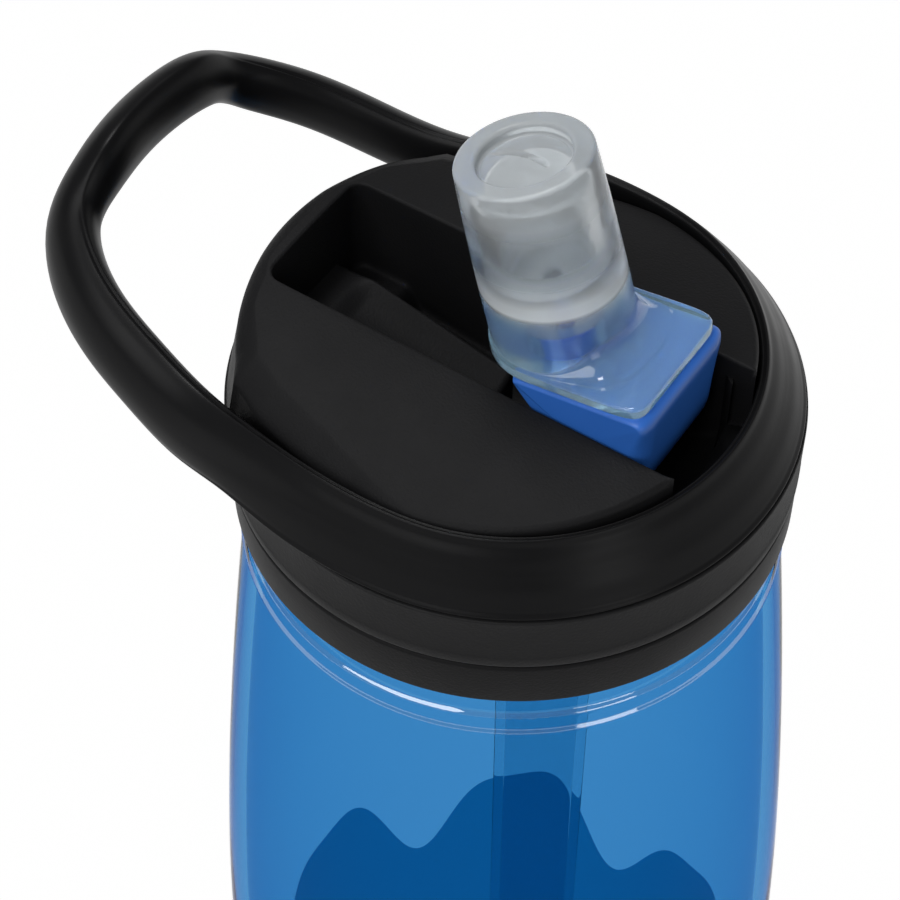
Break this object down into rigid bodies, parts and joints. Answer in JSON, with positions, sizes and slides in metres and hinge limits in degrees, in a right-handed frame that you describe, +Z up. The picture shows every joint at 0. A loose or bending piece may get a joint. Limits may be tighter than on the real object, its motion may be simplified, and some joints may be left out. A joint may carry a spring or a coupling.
{
  "type": "drinking_bottle",
  "caption": "Clear blue drinking bottle with a black screw cap, a rigid carrying loop and a fold-down blue spout with a soft bite valve and straw",
  "frame": {"origin": "Centre of the flat base, on the surface the bottle stands on", "axes": "+Z up along the bottle's axis, +X from the axis towards the spout's hinge, the carrying loop reaches towards -X, +Y completes a right-handed frame along the hinge line"},
  "size_m": [0.0883, 0.074, 0.2613],
  "materials": {
    "clear_blue": "clear tinted blue, polished",
    "cap_black": "black with a fine moulded grain",
    "band_black": "black, matte, slightly lighter than the cap",
    "loop_black": "black satin",
    "seal_grey": "grey silicone",
    "straw_clear": "clear, frosted by use",
    "spout_blue": "opaque blue, satin",
    "soft_clear": "translucent silicone",
    "pin_grey": "grey moulding"
  },
  "bodies": {
    "bottle": {"bottle_body": "clear_blue"},
    "seal": {"cap_gasket": "seal_grey"},
    "cap": {"cap_body": "cap_black", "grip_band": "band_black", "handle_ring": "loop_black", "vent_valve": "seal_grey", "port_seal": "seal_grey", "straw": "straw_clear", "spout_pins": "pin_grey"},
    "spout": {"spout_body": "spout_blue", "bite_valve": "soft_clear"}
  },
  "joints": [
    {"name": "cap_lift", "type": "slide", "parent": "bottle", "child": "seal", "axis": [0, 0, 1], "range_m": [0, 0.00501]},
    {"name": "cap_turn", "type": "hinge", "parent": "seal", "child": "cap", "pos_m": [0, 0, 0.212], "axis": [0, 0, 1], "range_deg": [0, 450]},
    {"name": "spout_flip", "type": "hinge", "parent": "cap", "child": "spout", "pos_m": [0.013, 0, 0.2307], "axis": [0, -1, 0], "range_deg": [0, 64]}
  ],
  "couplings": [
    {"joint": "cap_lift", "follows": "cap_turn", "m_per_rad": 0.00063662}
  ]
}
